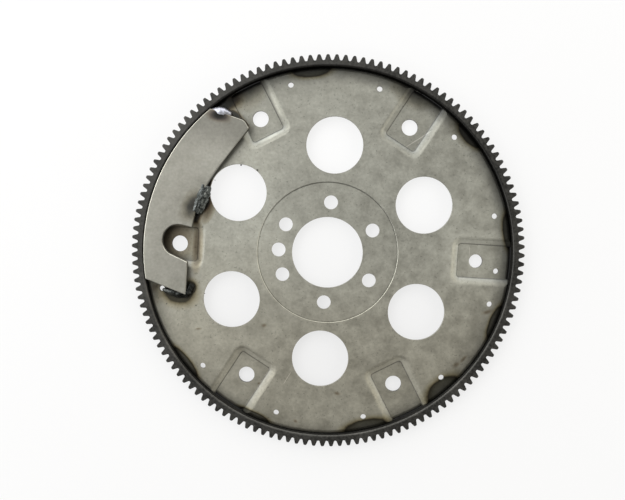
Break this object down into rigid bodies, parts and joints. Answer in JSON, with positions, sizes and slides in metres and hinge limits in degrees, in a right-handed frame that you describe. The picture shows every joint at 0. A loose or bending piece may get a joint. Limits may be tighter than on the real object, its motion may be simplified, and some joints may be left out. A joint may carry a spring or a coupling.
{
  "type": "flexplate",
  "caption": "Stamped steel drive plate with a toothed starter ring, formed converter pads, lightening holes and a welded crescent balance weight.",
  "frame": {"origin": "on the crank axis, at the hub face that seats on the crank", "axes": "+Z along the crank axis towards the engine, the side that the picture shows; +X through the converter pad with the closer locating hole"},
  "size_m": [0.3581, 0.3582, 0.016],
  "materials": {
    "sheet_steel": "cold-rolled sheet, satin, with heat tints beside the welds",
    "ring_steel": "dark hardened steel, lightly oiled",
    "weight_steel": "hot-rolled plate, satin",
    "weld_metal": "as welded, rippled"
  },
  "bodies": {
    "root": {"plate": "sheet_steel", "ring_gear": "ring_steel", "balance_weight": "weight_steel", "ring_welds": "weld_metal", "weight_weld_upper": "weld_metal", "weight_weld_inner": "weld_metal", "weight_weld_lower": "weld_metal"}
  },
  "joints": []
}
